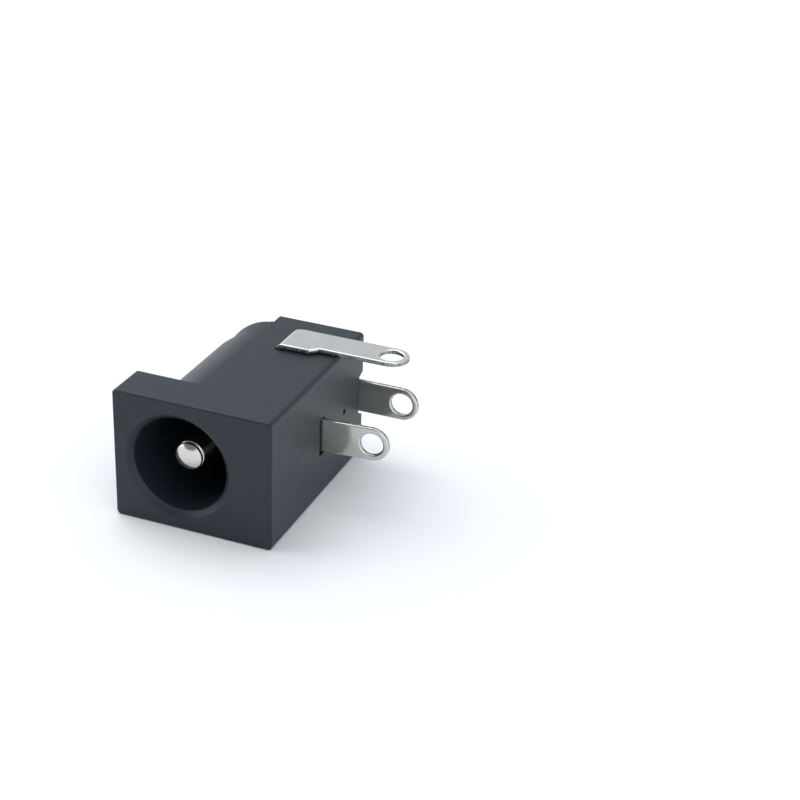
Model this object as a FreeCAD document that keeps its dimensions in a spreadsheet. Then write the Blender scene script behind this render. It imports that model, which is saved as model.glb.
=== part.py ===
import FreeCAD, Part
import math
import os
import re

import Sketcher

# Barrel power jack, drawn as it lies on one side: the plug goes in along +Y, the
# board face and its three solder lugs look along +X, and +Z is one side wall.
# The origin is where the socket's axis crosses the front face. Millimetres.

SIZES = {
    # Moulded housing, measured from the socket's axis
    "body_width": 9.0,
    "body_length": 14.6,
    "board_height": 6.5,
    "barrel_inset": 0.48,
    "flange_lip": 0.48,
    "flange_thickness": 3.0,
    "side_wall_rise": 0.05,
    "rear_block_length": 1.06,
    "rear_block_rise": 0.25,
    "collar_inset": 0.02,
    "collar_length": 1.15,
    "collar_offset": 0.45,
    "collar_taper": 0.55,
    "collar_taper_length": 1.0,
    "corner_radius": 0.3,
    "front_edge_radius": 0.15,
    "rear_edge_radius": 0.1,
    # Bore for the plug
    "bore_radius": 3.25,
    "bore_floor": 1.2,
    "mouth_bevel": 0.38,
    "plug_sleeve_radius": 2.75,
    # Solder lugs, stamped from one gauge of strip, and their spacing along the body
    "strip_gauge": 0.3,
    "lug_width": 2.35,
    "eye_radius": 0.775,
    "front_lug_spacing": 6.3,
    "switch_lug_spacing": 2.7,
    # Centre pin and its terminal
    "pin_radius": 1.0,
    "pin_set_back": 1.3,
    "pin_dome_height": 0.4,
    "pin_edge_radius": 0.25,
    "pin_flange_radius": 1.5,
    "pin_flange_length": 0.6,
    "pin_tail_radius": 0.55,
    "pin_clearance": 0.02,
    "rivet_radius": 0.95,
    "rivet_height": 0.25,
    "boss_radius": 1.75,
    "rear_recess_depth": 0.65,
    "rear_recess_side_gap": 0.225,
    "rear_recess_flare": 0.25,
    "rear_eye_reach": 3.1,
    # Sleeve spring, from its lug to its tail
    "front_lug_lean": 4.0,
    "front_eye_reach": 3.4,
    "lug_slot_gap": 0.3,
    "lug_slot_length": 0.8,
    "lug_slot_side_gap": 0.16,
    "lug_slot_offset": -0.11,
    "channel_wall": 1.35,
    "channel_front": 2.3,
    "channel_side_gap": 0.15,
    "spring_seat_gap": 0.02,
    "spring_front_gap": 0.35,
    "spring_preload": 0.3,
    "hairpin_rise": 0.85,
    "hairpin_radius": 0.3,
    "crest_place": 5.6,
    "crest_length": 0.7,
    "waist_place": 8.7,
    "waist_dip": 0.75,
    "tail_overhang": 0.8,
    "tail_flare": 0.35,
    "spring_bend_radius": 0.6,
    "lug_bend_radius": 0.45,
    # Switch terminal, folded into the side wall
    "switch_fold": 2.25,
    "switch_foot_extra": 0.5,
    "switch_foot_length": 2.35,
    "switch_step_length": 0.45,
    "switch_eye_reach": 3.25,
    "switch_standoff": 0.08,
    "switch_bend_radius": 0.42,
    "switch_arm_overrun": 0.1,
    "switch_slot_gap": 0.12,
    "contact_gap": 0.01,
    # Sprue scar on the board face
    "gate_radius": 0.2,
    "gate_depth": 0.15,
    "gate_inset": 3.2,
}

# A sketch's third axis points along this side of its plane's own axis
FACING = {"XY_Plane": 1, "XZ_Plane": -1, "YZ_Plane": 1}

# A cut's outline runs on past the face it opens by this much
BEYOND = "1"

document = FreeCAD.newDocument("barrel_jack")
sheet = document.addObject("Spreadsheet::Sheet", "Sizes")
for row, (name, number) in enumerate(SIZES.items(), start=1):
    sheet.set(f"A{row}", name)
    sheet.set(f"B{row}", str(number))
    sheet.setAlias(f"B{row}", name)
document.recompute()


def sized(formula):
    """The formula with each size read from the sheet."""
    return re.sub(r"\b(" + "|".join(SIZES) + r")\b", r"Sizes.\1", formula)


def number_of(formula):
    result = sheet.evalExpression(formula)
    return float(getattr(result, "Value", result))


def bind(thing, **formulas):
    for setting, formula in formulas.items():
        thing.setExpression(setting.replace("__", "."), sized(formula))


def new_body(name):
    body = document.addObject("PartDesign::Body", name)
    body.Label = name
    document.recompute()
    return body


def drawing(body, name, plane, at="0"):
    """A sketch on one of the body's own planes, moved along that plane's axis."""
    support = next(f for f in body.Origin.OriginFeatures if f.Role == plane)
    sketch = body.newObject("Sketcher::SketchObject", name)
    sketch.AttachmentSupport = [(support, "")]
    sketch.MapMode = "FlatFace"
    bind(sketch, AttachmentOffset__Base__z=f"{FACING[plane]} * ({at})")
    return sketch


def hold(sketch, kind, *place, formula):
    """One driving dimension of a sketch."""
    rule = Sketcher.Constraint(kind, *place, number_of(formula))
    index = sketch.addConstraint(rule)
    sketch.setExpression(f"Constraints[{index}]", sized(formula))


def hold_point(sketch, edge, end, x, y):
    hold(sketch, "DistanceX", -1, 1, edge, end, formula=x)
    hold(sketch, "DistanceY", -1, 1, edge, end, formula=y)


def circle(sketch, x, y, radius):
    centre = FreeCAD.Vector(number_of(x), number_of(y))
    up = FreeCAD.Vector(0, 0, 1)
    edge = sketch.addGeometry(Part.Circle(centre, up, number_of(radius)), False)
    hold_point(sketch, edge, 3, x, y)
    hold(sketch, "Radius", edge, formula=radius)


def outline(sketch, corners):
    """A closed outline of straight sides."""
    points = [FreeCAD.Vector(number_of(x), number_of(y)) for x, y in corners]
    count = len(corners)
    for i in range(count):
        side = Part.LineSegment(points[i], points[(i + 1) % count])
        sketch.addGeometry(side, False)
    for i, corner in enumerate(corners):
        after = (i + 1) % count
        sketch.addConstraint(Sketcher.Constraint("Coincident", i, 2, after, 1))
        hold_point(sketch, i, 1, *corner)


def rectangle(sketch, left, bottom, right, top):
    outline(sketch, [(left, bottom), (right, bottom), (right, top), (left, top)])


def dome(sketch, radius, apex, rim):
    """A closed half outline, flat at the rim and arched to the upright axis."""
    tip, edge, half = number_of(apex), number_of(rim), number_of(radius)
    rise = edge - tip
    bend = (half ** 2 + rise ** 2) / (2 * rise)
    centre = FreeCAD.Vector(0, tip + bend)
    ring = Part.Circle(centre, FreeCAD.Vector(0, 0, 1), bend)
    lowest = -math.pi / 2
    sketch.addGeometry(Part.ArcOfCircle(ring, lowest, lowest + math.asin(half / bend)), False)
    corner, middle = FreeCAD.Vector(half, edge), FreeCAD.Vector(0, edge)
    sketch.addGeometry(Part.LineSegment(corner, middle), False)
    sketch.addGeometry(Part.LineSegment(middle, FreeCAD.Vector(0, tip)), False)
    for side in range(3):
        after = (side + 1) % 3
        sketch.addConstraint(Sketcher.Constraint("Coincident", side, 2, after, 1))
    hold_point(sketch, 0, 1, "0", apex)
    hold_point(sketch, 1, 1, radius, rim)
    hold_point(sketch, 2, 1, "0", rim)
    hold(sketch, "DistanceX", -1, 1, 0, 3, formula="0")


def path(sketch, corners, bends):
    """An open line through the corners, rounded at each inner one by its bend."""
    points = [FreeCAD.Vector(number_of(x), number_of(y)) for x, y in corners]
    for start, end in zip(points, points[1:]):
        sketch.addGeometry(Part.LineSegment(start, end), False)
    for i in range(len(points) - 2):
        sketch.addConstraint(Sketcher.Constraint("Coincident", i, 2, i + 1, 1))
    hold_point(sketch, 0, 1, *corners[0])
    for i, corner in enumerate(corners[1:]):
        hold_point(sketch, i, 2, *corner)
    for i, bend in enumerate(bends):
        corner = points[i + 1]
        part_way = 0.1
        before = corner + (points[i] - corner) * part_way
        after = corner + (points[i + 2] - corner) * part_way
        trim = True
        keep_corner = True
        sketch.fillet(i, i + 1, before, after, number_of(bend), trim, keep_corner)
        arc = next(g for g in range(sketch.GeometryCount - 1, 0, -1)
                   if sketch.Geometry[g].TypeId == "Part::GeomArcOfCircle")
        hold(sketch, "Radius", arc, formula=bend)


def grown(body, feature, name, sketch, depth, away=False):
    """A pad, or a pocket when the feature says so, of one sketch."""
    step = body.newObject(f"PartDesign::{feature}", name)
    step.Profile = sketch
    step.Reversed = away
    bind(step, Length=depth)
    sketch.Visibility = False
    document.recompute()
    return step


def pad(body, name, sketch, depth):
    """Material from an XZ sketch towards +Y, or from the others along their axis."""
    across = sketch.AttachmentSupport[0][0].Role == "XZ_Plane"
    return grown(body, "Pad", name, sketch, depth, away=across)


def pocket(body, name, sketch, depth):
    """A cut from an XZ sketch towards +Y, or from the others against their axis."""
    before = body.Shape.Volume
    step = grown(body, "Pocket", name, sketch, depth)
    if step.Shape.Volume >= before:
        raise ValueError(f"{name} cuts nothing")
    return step


def turned(body, name, sketch):
    """Material from a profile turned about its sketch's upright axis."""
    step = body.newObject("PartDesign::Revolution", name)
    step.Profile = sketch
    step.ReferenceAxis = (sketch, ["V_Axis"])
    step.Angle = 360
    sketch.Visibility = False
    document.recompute()


def dress(body, kind, name, wanted, **size):
    """Fillet or Chamfer of the edges whose box passes the test."""
    base = body.Tip
    names = [f"Edge{i}" for i, edge in enumerate(base.Shape.Edges, start=1)
             if wanted(edge, edge.BoundBox)]
    if not names:
        raise ValueError(f"{name} finds no edge")
    step = body.newObject(f"PartDesign::{kind}", name)
    step.Base = (base, names)
    bind(step, **size)
    document.recompute()


def rounded(body, name, radius, wanted):
    dress(body, "Fillet", name, wanted, Radius=radius)


def bevelled(body, name, size, wanted):
    dress(body, "Chamfer", name, wanted, Size=size)


def near(one, other):
    return abs(one - other) < 1e-4


def straight(edge):
    return edge.Curve.TypeId == "Part::GeomLine"


def along_y(edge, box):
    return straight(edge) and near(box.XLength, 0) and near(box.ZLength, 0)


def across_y(box, place):
    """Whether an edge lies in the plane across Y at this place."""
    return near(box.YMin, place) and near(box.YMax, place)


# Places that more than one piece shares
SIDE = "(body_width / 2)"
BARREL = f"({SIDE} - barrel_inset)"
FLANGE_DROP = f"({BARREL} + flange_lip)"
BARREL_END = "(body_length - rear_block_length)"
PLATE_SEAT = "(body_length - rear_recess_depth)"
PLATE_MIDDLE = f"({PLATE_SEAT} + strip_gauge / 2)"
BORE_DEPTH = f"({PLATE_SEAT} - bore_floor)"
CHANNEL_FLOOR = "(board_height - channel_wall)"
HALF_LUG = "(lug_width / 2)"
HALF_CHANNEL = f"({HALF_LUG} + channel_side_gap)"
LUG_MIDDLE = f"({PLATE_MIDDLE} - front_lug_spacing)"
SWITCH_MIDDLE = f"({PLATE_MIDDLE} - switch_lug_spacing)"
SWITCH_FRONT = f"({SWITCH_MIDDLE} - {HALF_LUG} - switch_foot_extra)"
SWITCH_REAR = f"({SWITCH_MIDDLE} + {HALF_LUG})"
SWITCH_ARM_TOP = "(switch_fold + strip_gauge)"


def make_housing():
    body = new_body("housing")

    sketch = drawing(body, "flange_outline", "XZ_Plane")
    rectangle(sketch, f"-{FLANGE_DROP}", f"-{SIDE}", "board_height", SIDE)
    pad(body, "flange", sketch, "flange_thickness")

    sketch = drawing(body, "side_wall_outline", "XZ_Plane")
    rectangle(sketch, "side_wall_rise", f"-{SIDE}", "board_height", SIDE)
    pad(body, "side_walls", sketch, BARREL_END)

    sketch = drawing(body, "rear_block_outline", "XZ_Plane")
    rectangle(sketch, "rear_block_rise", f"-{SIDE}", "board_height", SIDE)
    pad(body, "rear_block", sketch, "body_length")

    sketch = drawing(body, "barrel_outline", "XZ_Plane")
    circle(sketch, "0", "0", BARREL)
    pad(body, "barrel", sketch, BARREL_END)

    collar = f"({SIDE} - collar_inset)"
    collar_front = f"({BARREL_END} - collar_length)"
    sketch = drawing(body, "collar_profile", "XY_Plane")
    bind(sketch, AttachmentOffset__Base__x="collar_offset")
    outline(sketch, [("0", collar_front),
                     (f"{collar} - collar_taper", collar_front),
                     (collar, f"{collar_front} + collar_taper_length"),
                     (collar, BARREL_END),
                     ("0", BARREL_END)])
    turned(body, "collar", sketch)

    sketch = drawing(body, "boss_outline", "XZ_Plane", BARREL_END)
    circle(sketch, "0", "0", "boss_radius")
    pad(body, "pin_boss", sketch, "rear_block_length - rear_recess_depth")

    top = number_of("board_height")
    low = number_of(f"-{FLANGE_DROP}")
    side = number_of(SIDE)
    length = number_of("body_length")
    rise = number_of("rear_block_rise")
    rounded(body, "long_edges", "corner_radius",
            lambda edge, box: along_y(edge, box) and near(abs(box.ZMin), side)
            and (near(box.XMin, top) or near(box.XMin, low)))
    rounded(body, "front_edges", "front_edge_radius", lambda edge, box: across_y(box, 0))
    rounded(body, "rear_edges", "rear_edge_radius",
            lambda edge, box: across_y(box, length) and not near(box.XMax, rise))

    sketch = drawing(body, "bore_outline", "XZ_Plane")
    circle(sketch, "0", "0", "bore_radius")
    pocket(body, "bore", sketch, BORE_DEPTH)
    bevelled(body, "bore_mouth", "mouth_bevel",
             lambda edge, box: across_y(box, 0) and near(box.XMax, number_of("bore_radius")))

    sketch = drawing(body, "pin_hole_outline", "XZ_Plane")
    circle(sketch, "0", "0", "pin_radius + pin_clearance")
    pocket(body, "pin_hole", sketch, "body_length")

    sketch = drawing(body, "channel_outline", "XZ_Plane", "channel_front")
    rectangle(sketch, "0", f"-{HALF_CHANNEL}", CHANNEL_FLOOR, HALF_CHANNEL)
    pocket(body, "spring_channel", sketch, f"{BORE_DEPTH} - channel_front")

    half_slot = f"({HALF_LUG} + lug_slot_side_gap)"
    sketch = drawing(body, "lug_slot_outline", "XZ_Plane",
                     f"{LUG_MIDDLE} - strip_gauge / 2 - lug_slot_gap")
    rectangle(sketch, f"{CHANNEL_FLOOR} - {BEYOND}", f"lug_slot_offset - {half_slot}",
              f"board_height + {BEYOND}", f"lug_slot_offset + {half_slot}")
    pocket(body, "lug_slot", sketch, "lug_slot_length")

    sketch = drawing(body, "switch_slot_outline", "XZ_Plane",
                     f"{SWITCH_FRONT} - switch_slot_gap")
    rectangle(sketch, "switch_fold - switch_slot_gap", "0",
              f"{SWITCH_ARM_TOP} + switch_slot_gap", f"{SIDE} + {BEYOND}")
    pocket(body, "switch_slot", sketch,
           f"{SWITCH_REAR} - {SWITCH_FRONT} + 2 * switch_slot_gap")

    sketch = drawing(body, "recess_outline", "YZ_Plane", "board_height")
    half_floor = f"({HALF_LUG} + rear_recess_side_gap)"
    half_mouth = f"({half_floor} + rear_recess_flare)"
    outline(sketch, [(PLATE_SEAT, f"-{half_floor}"),
                     ("body_length", f"-{half_mouth}"),
                     (f"body_length + {BEYOND}", f"-{half_mouth}"),
                     (f"body_length + {BEYOND}", half_mouth),
                     ("body_length", half_mouth),
                     (PLATE_SEAT, half_floor)])
    pocket(body, "rear_recess", sketch, f"board_height + {FLANGE_DROP}")

    sketch = drawing(body, "gate_outline", "YZ_Plane", "board_height")
    circle(sketch, "body_length - gate_inset", "0", "gate_radius")
    pocket(body, "gate_scar", sketch, "gate_depth")
    return body


def make_centre_pin():
    """Turned pin with a domed tip: its flange seats on the bore's floor and its
    tail is riveted over the rear terminal."""
    body = new_body("centre_pin")
    flange_front = f"({BORE_DEPTH} - pin_flange_length)"
    rivet_seat = f"({PLATE_SEAT} + strip_gauge)"
    rim = "(pin_set_back + pin_dome_height)"
    sketch = drawing(body, "pin_profile", "XY_Plane")
    outline(sketch, [("0", rim),
                     ("pin_radius", rim),
                     ("pin_radius", flange_front),
                     ("pin_flange_radius", flange_front),
                     ("pin_flange_radius", BORE_DEPTH),
                     ("pin_radius", BORE_DEPTH),
                     ("pin_radius", PLATE_SEAT),
                     ("pin_tail_radius", PLATE_SEAT),
                     ("pin_tail_radius", rivet_seat),
                     ("rivet_radius", rivet_seat),
                     ("rivet_radius - rivet_height", f"{rivet_seat} + rivet_height"),
                     ("0", f"{rivet_seat} + rivet_height")])
    turned(body, "turned_pin", sketch)

    sketch = drawing(body, "tip_profile", "XY_Plane")
    dome(sketch, "pin_radius", "pin_set_back", rim)
    turned(body, "domed_tip", sketch)
    edge_place = number_of(rim)
    rounded(body, "tip_edge", "pin_edge_radius", lambda edge, box: across_y(box, edge_place))
    return body


def make_pin_terminal():
    """Flat strip in the rear recess, riveted under the pin, with its eye above."""
    body = new_body("pin_terminal")
    eye = "(board_height + rear_eye_reach)"
    sketch = drawing(body, "plate_outline", "XZ_Plane", PLATE_SEAT)
    rectangle(sketch, "0", f"-{HALF_LUG}", eye, HALF_LUG)
    pad(body, "plate", sketch, "strip_gauge")
    for name, place in (("foot", "0"), ("tip", eye)):
        sketch = drawing(body, f"{name}_outline", "XZ_Plane", PLATE_SEAT)
        circle(sketch, place, "0", HALF_LUG)
        pad(body, f"round_{name}", sketch, "strip_gauge")
    for name, place, radius in (("rivet_hole", "0", "pin_tail_radius"),
                                ("eye", eye, "eye_radius")):
        sketch = drawing(body, f"{name}_outline", "XZ_Plane", PLATE_SEAT)
        circle(sketch, place, "0", radius)
        pocket(body, name, sketch, "strip_gauge")
    return body


def make_sleeve_spring():
    """One strip: eye and lug, a run along the channel's floor, a hairpin, and the
    arm with its contact crest and the tail that rests under the switch arm."""
    body = new_body("sleeve_spring")
    along = "front_eye_reach * cos(front_lug_lean)"
    back = "front_eye_reach * sin(front_lug_lean)"
    eye = (f"board_height + {along}", f"{LUG_MIDDLE} + {back}")
    floor = f"({CHANNEL_FLOOR} - spring_seat_gap - strip_gauge / 2)"
    front = "(channel_front + spring_front_gap + strip_gauge / 2)"
    crest = "(plug_sleeve_radius - spring_preload + strip_gauge / 2)"
    tail = f"({SWITCH_ARM_TOP} + contact_gap + strip_gauge / 2)"
    tail_front = f"({SWITCH_REAR} - tail_overhang - crest_length)"

    sketch = drawing(body, "strip_path", "XY_Plane")
    path(sketch,
         [eye,
          ("board_height", LUG_MIDDLE),
          (floor, LUG_MIDDLE),
          (floor, front),
          (f"{floor} - hairpin_rise", front),
          (crest, "crest_place"),
          (crest, "crest_place + crest_length"),
          (f"{crest} + waist_dip", "waist_place"),
          (tail, tail_front),
          (tail, f"{tail_front} + crest_length"),
          (f"{tail} + tail_flare", f"{tail_front} + crest_length + tail_overhang")],
         ["lug_bend_radius", "lug_bend_radius", "hairpin_radius", "hairpin_radius"]
         + 5 * ["spring_bend_radius"])

    section = drawing(body, "strip_section", "YZ_Plane", eye[0])
    bind(section, AttachmentOffset__Base__x=eye[1])
    lean_about = FreeCAD.Vector(0, 1, 0)
    section.AttachmentOffset = FreeCAD.Placement(
        section.AttachmentOffset.Base, FreeCAD.Rotation(lean_about, number_of("front_lug_lean")))
    bind(section, AttachmentOffset__Rotation__Angle="front_lug_lean")
    rectangle(section, "-strip_gauge / 2", f"-{HALF_LUG}", "strip_gauge / 2", HALF_LUG)
    document.recompute()

    strip = body.newObject("PartDesign::AdditivePipe", "formed_strip")
    strip.Profile = section
    strip.Spine = (sketch, [f"Edge{i + 1}" for i in range(len(sketch.Shape.Edges))])
    document.recompute()

    for name, radius, grow in (("tip", HALF_LUG, pad), ("eye", "eye_radius", pocket)):
        sketch = drawing(body, f"{name}_outline", "XZ_Plane",
                         f"{eye[1]} - strip_gauge / 2 * cos(front_lug_lean)")
        bind(sketch, AttachmentOffset__Base__x=f"{eye[0]} + strip_gauge / 2 * sin(front_lug_lean)")
        sketch.AttachmentOffset = FreeCAD.Placement(
            sketch.AttachmentOffset.Base,
            FreeCAD.Rotation(lean_about, number_of("front_lug_lean")))
        bind(sketch, AttachmentOffset__Rotation__Angle="front_lug_lean")
        circle(sketch, "0", "0", radius)
        grow(body, f"round_{name}", sketch, "strip_gauge")
    return body


def make_switch_terminal():
    """Flat lug on the side wall, stepped near its fold, with the contact arm
    turned down through the wall into the bore."""
    body = new_body("switch_terminal")
    underside = f"({SIDE} + switch_standoff)"
    eye = "(board_height + switch_eye_reach)"
    lug_front = f"({SWITCH_MIDDLE} - {HALF_LUG})"
    step = "(switch_fold + switch_foot_length)"

    sketch = drawing(body, "lug_outline", "XY_Plane", underside)
    outline(sketch, [("switch_fold", SWITCH_FRONT),
                     (step, SWITCH_FRONT),
                     (f"{step} + switch_step_length", lug_front),
                     (eye, lug_front),
                     (eye, SWITCH_REAR),
                     ("switch_fold", SWITCH_REAR)])
    pad(body, "lug", sketch, "strip_gauge")

    sketch = drawing(body, "arm_outline", "XZ_Plane", SWITCH_FRONT)
    rectangle(sketch, "switch_fold", f"-{HALF_LUG} - switch_arm_overrun",
              SWITCH_ARM_TOP, f"{underside} + strip_gauge")
    pad(body, "arm", sketch, f"{SWITCH_REAR} - {SWITCH_FRONT}")

    fold = number_of("switch_fold")
    inner = number_of(SWITCH_ARM_TOP)
    under = number_of(underside)
    upper = number_of(f"{underside} + strip_gauge")
    rounded(body, "outer_bend", "switch_bend_radius",
            lambda edge, box: along_y(edge, box) and near(box.XMin, fold)
            and near(box.ZMin, upper))
    rounded(body, "inner_bend", "switch_bend_radius - strip_gauge",
            lambda edge, box: along_y(edge, box) and near(box.XMin, inner)
            and near(box.ZMin, under))

    sketch = drawing(body, "tip_outline", "XY_Plane", underside)
    circle(sketch, eye, SWITCH_MIDDLE, HALF_LUG)
    pad(body, "round_tip", sketch, "strip_gauge")

    sketch = drawing(body, "eye_outline", "XY_Plane", f"{underside} + strip_gauge")
    circle(sketch, eye, SWITCH_MIDDLE, "eye_radius")
    pocket(body, "eye", sketch, "strip_gauge")
    return body


pieces = [make_housing(), make_centre_pin(), make_pin_terminal(), make_sleeve_spring(),
          make_switch_terminal()]
document.recompute()

for item in document.Objects:
    if "Invalid" in item.State or "Error" in item.State:
        raise ValueError(f"{item.Label} failed: {item.State}")
for piece in pieces:
    if piece.Shape.isNull() or not piece.Shape.isValid():
        raise ValueError(f"{piece.Label} has no sound shape")

os.makedirs("parts", exist_ok=True)
for piece in pieces:
    piece.Shape.exportStep(f"parts/{piece.Label}.step")
    print(f"{piece.Label}: {piece.Shape.Volume:.2f} mm3, {len(piece.Shape.Solids)} solid")
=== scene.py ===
import math

import bmesh
import bpy
from mathutils import Matrix, Vector


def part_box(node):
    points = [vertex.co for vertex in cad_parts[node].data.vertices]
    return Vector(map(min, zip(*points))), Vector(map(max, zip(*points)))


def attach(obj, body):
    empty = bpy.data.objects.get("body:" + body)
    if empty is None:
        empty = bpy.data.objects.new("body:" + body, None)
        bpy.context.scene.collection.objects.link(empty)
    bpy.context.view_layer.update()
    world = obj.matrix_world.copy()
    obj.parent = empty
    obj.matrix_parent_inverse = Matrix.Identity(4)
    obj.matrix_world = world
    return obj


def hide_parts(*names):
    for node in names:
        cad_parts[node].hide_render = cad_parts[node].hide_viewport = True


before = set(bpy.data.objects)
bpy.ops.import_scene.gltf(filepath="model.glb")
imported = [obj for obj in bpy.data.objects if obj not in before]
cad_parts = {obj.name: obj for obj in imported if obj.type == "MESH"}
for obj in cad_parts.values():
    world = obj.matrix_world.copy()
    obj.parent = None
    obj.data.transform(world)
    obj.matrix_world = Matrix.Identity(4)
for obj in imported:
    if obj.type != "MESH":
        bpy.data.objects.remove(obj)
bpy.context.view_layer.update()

MM = 0.001

# The camera, as fitted to the edges of the jack in its photographed pose
CAMERA_AT = Vector((44.727, -81.207, 52.551)) * MM
CAMERA_FORWARD = Vector((-0.308759, 0.833933, -0.457410))
CAMERA_UP = Vector((-0.198463, 0.413836, 0.888455))
SENSOR_WIDTH = 36.0
PICTURE_WIDTH = 800
FOCAL_LENGTH_IN_PIXELS = 1688.3
NEAREST_SEEN, FARTHEST_SEEN = 0.005, 10.0

# White walls, then the room's other parts: which way each lies, the angles in
# degrees from there at which it begins and is full, and its light
WALL_LIGHT = (1.30, 1.37, 1.43)
ROOM_PARTS = {
    "bright left": ((-0.90, -0.35, 0.25), 65, 35, (1.95, 2.03, 2.10)),
    "dimmer right": ((0.93, 0.37, 0.20), 60, 30, (0.87, 0.93, 0.99)),
    "dim back": ((0.18, 0.83, 0.42), 56, 38, (0.66, 0.70, 0.77)),
    "lamp overhead": ((-0.31, 0.28, 0.91), 22, 12, (3.20, 3.30, 3.40)),
    "dark high front": ((-0.25, -0.80, 0.50), 38, 30, (0.16, 0.17, 0.18)),
}

FLOOR_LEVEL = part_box("housing")[0].z
FLOOR_REACH = 0.6
BOARD_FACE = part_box("housing")[1].x

# Edges: lengths in millimetres, angles in degrees
SHARP = 30
FLAT = 0.2
SAME_PLACE = 0.0005
SLIVER = 0.0002
ON_PLANE = 0.00001
MOULDED_EDGE = 0.05
TURNED_EDGE = 0.03
STRIP_EDGE = 0.04
ROLLED_EDGE = 0.12
EDGE_STEPS = 3
ROLLED_STEPS = 4
# Cosines with an axis, of a normal that lies along it, almost along it or across it
ALONG, ALMOST_ALONG, ACROSS = 0.97, 0.95, 0.25

# The barrel's free side at the rear, in millimetres: where it begins to be drawn in,
# where it is drawn in fully, the collar's end, the ring of radii that moves, the
# middle and reach of that side, and the depth
DRAWN_FROM, DRAWN_FULLY, COLLAR_END = 11.9, 13.4, 13.56
DRAWN_INSIDE, DRAWN_OUTSIDE = 3.6, 4.75
DRAWN_MIDDLE, DRAWN_REACH = 0.45, 4.48
DRAWN_DEPTH = 0.50

# The pin in millimetres: radii, and places along the bore's axis
CROWN_RADIUS, CROWN_CURVE, CROWN_STEPS = 0.90, 0.25, 18
SHAFT_RADIUS, FLANGE_RADIUS, TAIL_RADIUS = 1.0, 1.5, 0.55
FLANGE_FRONT, FLANGE_REAR = 12.15, 12.75
TERMINAL_FRONT, TERMINAL_REAR = 13.95, 14.25
RIVET_FLAT_RADIUS, RIVET_TURN_STEP = 0.70, 15
SPIN_STEPS = 96
# Radius and depth of the tip's broken edge, the groove behind it and the shoulder
NECK = ((0.92, 0.225), (0.935, 0.26), (0.935, 0.38), (0.90, 0.42), (0.88, 0.46),
        (0.89, 0.49), (0.93, 0.505), (0.975, 0.54), (SHAFT_RADIUS, 0.61))

SIDE_LUG_CORNER, SIDE_LUG_CORNER_CUTS = 0.85, 6


class Shade:
    """One output of a material's node, on which sums build further nodes."""

    def __init__(self, shader, socket):
        self.shader = shader
        self.socket = socket

    def _math(self, operation, first, second):
        return self.shader.node("ShaderNodeMath", {"operation": operation},
                                {0: first, 1: second})

    def __add__(self, other):
        return self._math("ADD", self, other)

    def __radd__(self, other):
        return self._math("ADD", other, self)

    def __sub__(self, other):
        return self._math("SUBTRACT", self, other)

    def __rsub__(self, other):
        return self._math("SUBTRACT", other, self)

    def __mul__(self, other):
        return self._math("MULTIPLY", self, other)

    def __rmul__(self, other):
        return self._math("MULTIPLY", other, self)


class Shader:
    """The nodes of a material or of the world, made one call at a time."""

    def __init__(self, owner):
        self.owner = owner
        owner.use_nodes = True
        self.tree = owner.node_tree
        self.tree.nodes.clear()

    def node(self, kind, settings=None, sockets=None, output=0):
        made = self.tree.nodes.new(kind)
        for setting, value in (settings or {}).items():
            if setting == "stops":
                self._stops(made.color_ramp, value)
            else:
                setattr(made, setting, value)
        for socket, value in (sockets or {}).items():
            self._fill(made.inputs[socket], value)
        return Shade(self, made.outputs[output]) if made.outputs else None

    def _stops(self, ramp, stops):
        while len(ramp.elements) < len(stops):
            ramp.elements.new(1.0)
        for element, (place, grey) in zip(ramp.elements, stops):
            element.position = place
            element.color = (grey, grey, grey, 1.0)

    def _fill(self, socket, value):
        if isinstance(value, Shade):
            self.tree.links.new(value.socket, socket)
        elif socket.type == "RGBA" and len(value) == 3:
            socket.default_value = (*value, 1.0)
        else:
            socket.default_value = value

    def stretched(self, vector, stretch):
        return self.node("ShaderNodeMapping", {}, {"Vector": vector, "Scale": stretch})

    def place(self):
        """Object coordinates in millimetres."""
        here = self.node("ShaderNodeTexCoord", output="Object")
        return self.stretched(here, (1 / MM,) * 3)

    def noise(self, vector, scale, detail=2.0, roughness=0.5):
        """Noise from 0 to 1, its scale in features to the millimetre."""
        return self.node("ShaderNodeTexNoise", {}, {
            "Vector": vector, "Scale": scale, "Detail": detail, "Roughness": roughness})

    def ramp(self, value, *stops):
        return self.node("ShaderNodeValToRGB", {"stops": stops}, {"Fac": value})

    def colours(self, factor, low, high):
        return self.node("ShaderNodeMix", {"data_type": "RGBA"},
                         {"Factor": factor, 6: low, 7: high}, output=2)

    def bump(self, height, depth, normal=None):
        """A bump whose height of 1 stands for this many millimetres."""
        sockets = {"Height": height, "Strength": 1.0, "Distance": depth * MM}
        if normal is not None:
            sockets["Normal"] = normal
        return self.node("ShaderNodeBump", {}, sockets)

    def surface(self, **sockets):
        named = {name.replace("_", " "): value for name, value in sockets.items()}
        return self.node("ShaderNodeBsdfPrincipled", {}, named)

    def finish(self, surface):
        of_world = isinstance(self.owner, bpy.types.World)
        kind = "ShaderNodeOutputWorld" if of_world else "ShaderNodeOutputMaterial"
        self.node(kind, {}, {"Surface": surface})
        return self.owner


def new_material(name):
    return Shader(bpy.data.materials.new(name))


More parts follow.
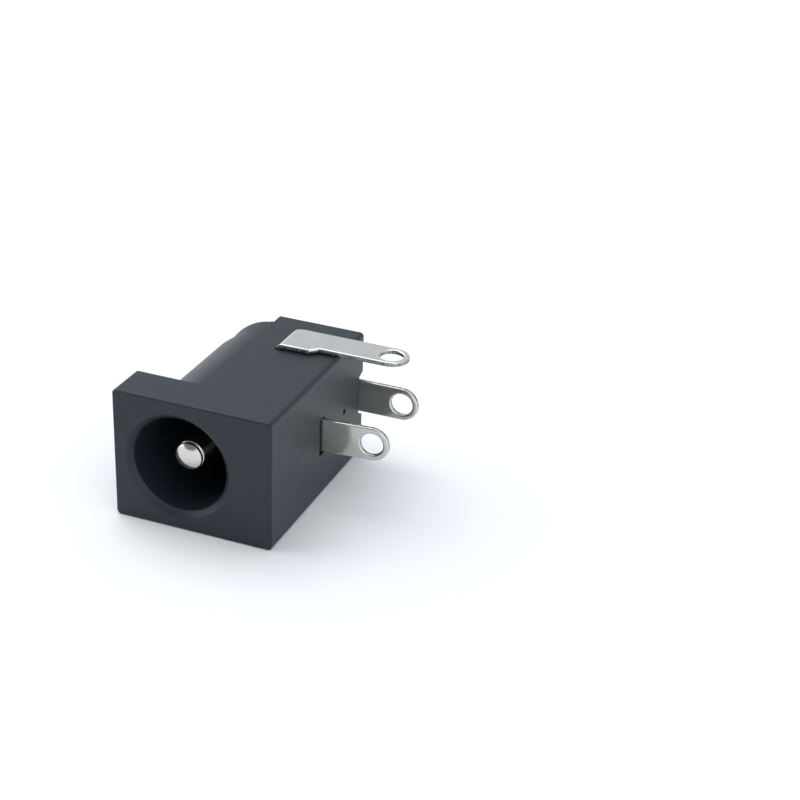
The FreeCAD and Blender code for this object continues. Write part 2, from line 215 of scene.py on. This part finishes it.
def black_moulding():
    """Satin black plastic with a cool cast, its fine grain and faint flow marks."""
    shader = new_material("black_moulding")
    place = shader.place()
    cloud = shader.noise(place, scale=0.35, detail=3.0)
    grain = shader.noise(place, scale=14.0, detail=3.0, roughness=0.6)
    flow = shader.noise(shader.stretched(place, (1.0, 0.25, 1.0)), scale=1.6)
    colour = shader.colours(cloud, (0.0115, 0.0175, 0.0245), (0.0155, 0.0225, 0.0310))
    roughness = 0.36 + 0.07 * flow + 0.07 * grain
    normal = shader.bump(grain, 0.004, shader.bump(flow, 0.012))
    return shader.finish(shader.surface(Base_Color=colour, Roughness=roughness,
                                        Normal=normal, IOR=1.5, Specular_IOR_Level=0.36))


def polished_nickel(name, low, high, haze, ripple):
    """Nickel plate: a clear mirror under a thin haze, with faint rolling lines,
    small waves and finger-dulled clouds."""
    shader = new_material(name)
    place = shader.place()
    cloud = shader.noise(place, scale=0.9, detail=3.0)
    waves = shader.noise(place, scale=0.8, detail=1.0)
    scratch = shader.noise(shader.stretched(place, (0.6, 9.0, 9.0)), scale=2.5,
                           detail=4.0, roughness=0.65)
    colour = shader.colours(cloud, low, high)
    normal = shader.bump(scratch, 0.0006, shader.bump(waves, ripple))
    clear = shader.surface(Base_Color=colour, Metallic=1.0, Normal=normal,
                           Roughness=0.06 + 0.05 * cloud + 0.04 * scratch)
    dulled = shader.surface(Base_Color=colour, Metallic=1.0, Normal=normal,
                            Roughness=0.42 + 0.10 * scratch)
    return shader.finish(shader.node("ShaderNodeMixShader", {}, {
        0: haze + 0.15 * cloud, 1: clear, 2: dulled}))


def painted_dark_sheared_edge(name, across):
    """The cut side of a strip: dull and scored from face to face, its dark colour a painted
    dark reflection over the dull cut metal.
    """
    shader = new_material(name)
    place = shader.place()
    scores = shader.noise(shader.stretched(place, across), scale=5.0, detail=3.0,
                          roughness=0.7)
    blotch = shader.noise(place, scale=3.0)
    tone = shader.ramp(scores + 0.5 * blotch - 0.25, (0.35, 0.0), (0.62, 1.0))
    # Painted dark reflection: the cut metal's tones are held far below those of the plated
    # faces
    colour = shader.colours(tone, (0.110, 0.108, 0.104), (0.440, 0.435, 0.420))
    return shader.finish(shader.surface(
        Base_Color=colour, Metallic=1.0, Roughness=0.30 + 0.25 * blotch,
        Normal=shader.bump(scores, 0.05)))


def merged_copy(node):
    """A CAD node's solid as one closed mesh whose flat faces are whole."""
    solid = bmesh.new()
    solid.from_mesh(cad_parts[node].data)
    bmesh.ops.remove_doubles(solid, verts=solid.verts, dist=SAME_PLACE * MM)
    bmesh.ops.dissolve_limit(solid, angle_limit=math.radians(FLAT), verts=solid.verts,
                             edges=solid.edges, delimit=set())
    return solid


def sharp_edges(solid):
    return [edge for edge in solid.edges if len(edge.link_faces) == 2
            and edge.calc_face_angle() > math.radians(SHARP)]


def cut_by_plane(solid, place, way, drop_outer=False):
    """The solid's edges along a plane, on whose far side all may be dropped."""
    everything = solid.verts[:] + solid.edges[:] + solid.faces[:]
    cut = bmesh.ops.bisect_plane(solid, geom=everything, dist=ON_PLANE * MM, plane_co=place,
                                 plane_no=way, clear_outer=drop_outer)
    return [part for part in cut["geom_cut"] if isinstance(part, bmesh.types.BMEdge)]


def draw_in_rear(solid):
    """The barrel's free side drawn in towards the rear block, with its collar."""
    cut_by_plane(solid, (0, DRAWN_FROM * MM, 0), (0, 1, 0))
    for corner in solid.verts:
        x, y, z = corner.co / MM
        in_ring = DRAWN_INSIDE < math.hypot(x, z) < DRAWN_OUTSIDE
        if DRAWN_FROM <= y <= COLLAR_END and x <= DRAWN_MIDDLE and in_ring:
            along = min((y - DRAWN_FROM) / (DRAWN_FULLY - DRAWN_FROM), 1.0)
            across = (DRAWN_MIDDLE - x) / DRAWN_REACH
            corner.co.x += DRAWN_DEPTH * along * across * MM


def round_corner(solid, corner, inwards, radius, cuts):
    """An upright corner of a strip cut to a round by planes, each closed again."""
    centre = corner + inwards * radius * MM
    for step in range(cuts):
        turn = math.radians(90 * (step + 0.5) / cuts)
        way = Vector((-inwards.x * math.cos(turn), -inwards.y * math.sin(turn), 0))
        rim = cut_by_plane(solid, centre + way * radius * MM, way, drop_outer=True)
        bmesh.ops.contextual_create(solid, geom=rim)
    bmesh.ops.recalc_face_normals(solid, faces=solid.faces)


def round_edges(solid, edges, offset, steps):
    bmesh.ops.bevel(solid, geom=edges, offset=offset * MM, offset_type="OFFSET",
                    affect="EDGES", segments=steps, profile=0.5, material=-1,
                    clamp_overlap=False)


def keep_in_box(solid, node):
    """No corner past the node's box, and no slivers."""
    low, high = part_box(node)
    for corner in solid.verts:
        corner.co = Vector(min(max(place, least), most) for place, least, most
                           in zip(corner.co, low, high))
    bmesh.ops.remove_doubles(solid, verts=solid.verts, dist=SLIVER * MM)


def soften(solid, node, edge):
    """Every sharp edge broken by a small round."""
    round_edges(solid, sharp_edges(solid), edge, EDGE_STEPS)
    keep_in_box(solid, node)


def finish_strip(solid, node, punched_way, is_cut_side):
    """A strip with rolled edges on the face that the punch met, the others broken,
    and its cut sides marked for their own material: dull scored metal, painted dark as a
    dark reflection."""
    rolled = [edge for edge in sharp_edges(solid)
              if any(face.normal.dot(punched_way) > ALMOST_ALONG
                     for face in edge.link_faces)]
    round_edges(solid, rolled, ROLLED_EDGE, ROLLED_STEPS)
    solid.normal_update()
    round_edges(solid, sharp_edges(solid), STRIP_EDGE, EDGE_STEPS)
    solid.normal_update()
    for face in solid.faces:
        face.material_index = int(is_cut_side(face.normal, face.calc_center_median()))
    keep_in_box(solid, node)


def show(solid, name, node, materials):
    """The piece that stands for a CAD node, shaded smooth up to its sharp edges."""
    mesh = bpy.data.meshes.new(name)
    solid.to_mesh(mesh)
    solid.free()
    for material in materials:
        mesh.materials.append(material)
    for face in mesh.polygons:
        face.use_smooth = True
    piece = bpy.data.objects.new(name, mesh)
    bpy.context.scene.collection.objects.link(piece)
    piece.modifiers.new("face_normals", "WEIGHTED_NORMAL").keep_sharp = True
    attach(piece, "root")
    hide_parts(node)


def moulded_housing(moulding):
    solid = merged_copy("housing")
    draw_in_rear(solid)
    soften(solid, "housing", MOULDED_EDGE)
    show(solid, "moulded_housing", "housing", [moulding])


def pin_profile():
    """The crowned tip with its neck, the shaft, the flange, the root, the tail in
    the terminal and the rivet's head, as radii and places along the axis."""
    low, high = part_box("centre_pin")
    tip, end = low.y / MM, high.y / MM
    crown = []
    for step in range(CROWN_STEPS + 1):
        radius = CROWN_RADIUS * step / CROWN_STEPS
        crown.append((radius, tip + CROWN_CURVE * radius ** 2))
    neck = [(radius, tip + depth) for radius, depth in NECK]
    body = [(SHAFT_RADIUS, FLANGE_FRONT), (FLANGE_RADIUS, FLANGE_FRONT),
            (FLANGE_RADIUS, FLANGE_REAR), (SHAFT_RADIUS, FLANGE_REAR),
            (SHAFT_RADIUS, TERMINAL_FRONT), (TAIL_RADIUS, TERMINAL_FRONT),
            (TAIL_RADIUS, TERMINAL_REAR)]
    head_round = end - TERMINAL_REAR
    head = []
    for degrees in range(0, 91, RIVET_TURN_STEP):
        turn = math.radians(degrees)
        head.append((RIVET_FLAT_RADIUS + head_round * math.cos(turn),
                     TERMINAL_REAR + head_round * math.sin(turn)))
    return crown + neck + body + head + [(0.0, end)]


def turned_pin(finish):
    """The pin, turned about the bore's axis."""
    solid = bmesh.new()
    corners = [solid.verts.new((radius * MM, place * MM, 0))
               for radius, place in pin_profile()]
    sides = [solid.edges.new(pair) for pair in zip(corners, corners[1:])]
    bmesh.ops.spin(solid, geom=corners + sides, cent=(0, 0, 0), axis=(0, 1, 0),
                   angle=math.tau, steps=SPIN_STEPS, use_merge=True)
    bmesh.ops.remove_doubles(solid, verts=solid.verts, dist=SAME_PLACE * MM)
    bmesh.ops.recalc_face_normals(solid, faces=solid.faces)
    soften(solid, "centre_pin", TURNED_EDGE)
    show(solid, "turned_pin", "centre_pin", [finish])


def rear_lug_strip(finish, cut_sides_painted_dark):
    def is_cut_side(normal, centre):
        return abs(normal.y) < ACROSS

    solid = merged_copy("pin_terminal")
    finish_strip(solid, "pin_terminal", Vector((0, -1, 0)), is_cut_side)
    show(solid, "rear_lug_strip", "pin_terminal", [finish, cut_sides_painted_dark])


def front_lug_spring(finish, cut_sides_painted_dark):
    def is_cut_side(normal, centre):
        beyond_bends = centre.x > BOARD_FACE
        return abs(normal.z) > ALONG or (beyond_bends and abs(normal.y) < ACROSS)

    solid = merged_copy("sleeve_spring")
    finish_strip(solid, "sleeve_spring", Vector((0, -1, 0)), is_cut_side)
    show(solid, "front_lug_spring", "sleeve_spring", [finish, cut_sides_painted_dark])


def side_lug_strip(finish, cut_sides_painted_dark):
    def is_cut_side(normal, centre):
        beyond_fold = centre.x > BOARD_FACE
        return abs(normal.z) < ACROSS and (beyond_fold or abs(normal.y) > 0.5)

    solid = merged_copy("switch_terminal")
    low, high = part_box("switch_terminal")
    round_corner(solid, Vector((low.x, high.y, 0)), Vector((1, -1, 0)),
                 SIDE_LUG_CORNER, SIDE_LUG_CORNER_CUTS)
    finish_strip(solid, "switch_terminal", Vector((0, 0, 1)), is_cut_side)
    show(solid, "side_lug_strip", "switch_terminal", [finish, cut_sides_painted_dark])


def pale_floor():
    sheet = bmesh.new()
    bmesh.ops.create_grid(sheet, x_segments=1, y_segments=1, size=FLOOR_REACH)
    bmesh.ops.translate(sheet, verts=sheet.verts, vec=(0, 0, FLOOR_LEVEL))
    mesh = bpy.data.meshes.new("floor")
    sheet.to_mesh(mesh)
    sheet.free()
    shader = new_material("pale_floor")
    mesh.materials.append(shader.finish(shader.surface(
        Base_Color=(0.90, 0.90, 0.90), Roughness=0.7, Specular_IOR_Level=0.2)))
    floor = bpy.data.objects.new("floor", mesh)
    bpy.context.scene.collection.objects.link(floor)


def room():
    world = bpy.data.worlds.new("room")
    bpy.context.scene.world = world
    shader = Shader(world)
    way = shader.node("ShaderNodeTexCoord", output="Generated")
    colour = WALL_LIGHT
    for heading, begins, full, light in ROOM_PARTS.values():
        nearness = shader.node("ShaderNodeVectorMath", {"operation": "DOT_PRODUCT"},
                               {0: way, 1: Vector(heading).normalized()}, output="Value")
        part = shader.ramp(nearness, (math.cos(math.radians(begins)), 0.0),
                           (math.cos(math.radians(full)), 1.0))
        colour = shader.colours(part, colour, light)
    shader.finish(shader.node("ShaderNodeBackground", {}, {"Color": colour}))
    bpy.context.scene.view_settings.view_transform = "Standard"


def camera():
    data = bpy.data.cameras.new("camera")
    data.sensor_width = SENSOR_WIDTH
    data.lens = FOCAL_LENGTH_IN_PIXELS * SENSOR_WIDTH / PICTURE_WIDTH
    data.clip_start = NEAREST_SEEN
    data.clip_end = FARTHEST_SEEN
    eye = bpy.data.objects.new("camera", data)
    bpy.context.scene.collection.objects.link(eye)
    right = CAMERA_FORWARD.cross(CAMERA_UP)
    turn = Matrix((right, CAMERA_UP, -CAMERA_FORWARD)).transposed()
    eye.matrix_world = Matrix.Translation(CAMERA_AT) @ turn.to_4x4()
    bpy.context.scene.camera = eye


moulding = black_moulding()
strip_finish = polished_nickel("plated_strip", (0.62, 0.61, 0.57), (0.70, 0.685, 0.64),
                               haze=0.24, ripple=0.008)
pin_finish = polished_nickel("plated_pin", (0.61, 0.60, 0.56), (0.69, 0.68, 0.63),
                             haze=0.08, ripple=0.006)
# Cut sides: dull scored metal whose colour is painted dark, a painted dark reflection
lug_cut_sides_painted_dark = painted_dark_sheared_edge("sheared_edge_of_lugs", (1.0, 0.12, 1.0))
side_lug_cut_sides_painted_dark = painted_dark_sheared_edge("sheared_edge_of_side_lug", (1.0, 1.0, 0.12))

moulded_housing(moulding)
turned_pin(pin_finish)
rear_lug_strip(strip_finish, lug_cut_sides_painted_dark)
front_lug_spring(strip_finish, lug_cut_sides_painted_dark)
side_lug_strip(strip_finish, side_lug_cut_sides_painted_dark)
pale_floor()
room()
camera()
